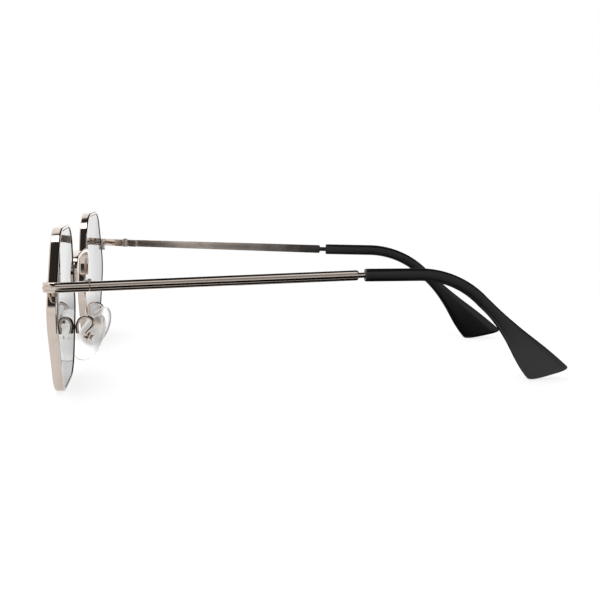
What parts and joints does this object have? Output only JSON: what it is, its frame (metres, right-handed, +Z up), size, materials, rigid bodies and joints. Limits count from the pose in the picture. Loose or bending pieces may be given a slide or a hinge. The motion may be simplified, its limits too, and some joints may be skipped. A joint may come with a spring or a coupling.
{
  "type": "folding sunglasses",
  "caption": "Sunglasses with rounded six-sided metal rims, dark lenses, slim grooved temples that fold, black paddle-ended tips and clear rocking nose pads",
  "frame": {"origin": "middle of the footprint at the level of the surface that the rims and the tips stand on", "axes": "+X is the wearer's left, +Y runs back along the temples from the front, +Z is up"},
  "size_m": [0.1298, 0.1506, 0.0447],
  "materials": {
    "polished_metal": "polished",
    "screw_steel": "turned",
    "dark_lens": "polished",
    "black_tip": "satin",
    "clear_pad": "polished"
  },
  "bodies": {
    "front": {"left_eyewire": "polished_metal", "left_lens": "dark_lens", "left_closing_block_upper": "polished_metal", "left_closing_block_lower": "polished_metal", "left_closing_screw": "screw_steel", "left_end_piece": "polished_metal", "left_front_hinge_leaf": "polished_metal", "left_hinge_screw": "screw_steel", "left_pad_box": "polished_metal", "left_pad_screw": "screw_steel", "left_pad_arm": "polished_metal", "right_eyewire": "polished_metal", "right_lens": "dark_lens", "right_closing_block_upper": "polished_metal", "right_closing_block_lower": "polished_metal", "right_closing_screw": "screw_steel", "right_end_piece": "polished_metal", "right_front_hinge_leaf": "polished_metal", "right_hinge_screw": "screw_steel", "right_pad_box": "polished_metal", "right_pad_screw": "screw_steel", "right_pad_arm": "polished_metal", "bridge": "polished_metal"},
    "left_temple": {"left_temple_hinge_leaf": "polished_metal", "left_temple": "polished_metal", "left_temple_tip": "black_tip"},
    "right_temple": {"right_temple_hinge_leaf": "polished_metal", "right_temple": "polished_metal", "right_temple_tip": "black_tip"},
    "left_pad": {"left_nose_pad": "clear_pad", "left_pad_insert": "polished_metal"},
    "right_pad": {"right_nose_pad": "clear_pad", "right_pad_insert": "polished_metal"}
  },
  "joints": [
    {"name": "left_temple_fold", "type": "hinge", "parent": "front", "child": "left_temple", "pos_m": [0.06005, -0.0634, 0.03165], "axis": [0, 0, 1], "range_deg": [0, 77.5]},
    {"name": "right_temple_fold", "type": "hinge", "parent": "front", "child": "right_temple", "pos_m": [-0.06005, -0.0634, 0.03165], "axis": [0, 0, -1], "range_deg": [0, 67.5]},
    {"name": "left_pad_rock", "type": "hinge", "parent": "front", "child": "left_pad", "pos_m": [0.01165, -0.06924, 0.00965], "axis": [0.3074, 0.8796, -0.363], "range_deg": [-10, 10]},
    {"name": "right_pad_rock", "type": "hinge", "parent": "front", "child": "right_pad", "pos_m": [-0.01165, -0.06924, 0.00965], "axis": [0.3074, -0.8796, 0.363], "range_deg": [-10, 10]}
  ]
}
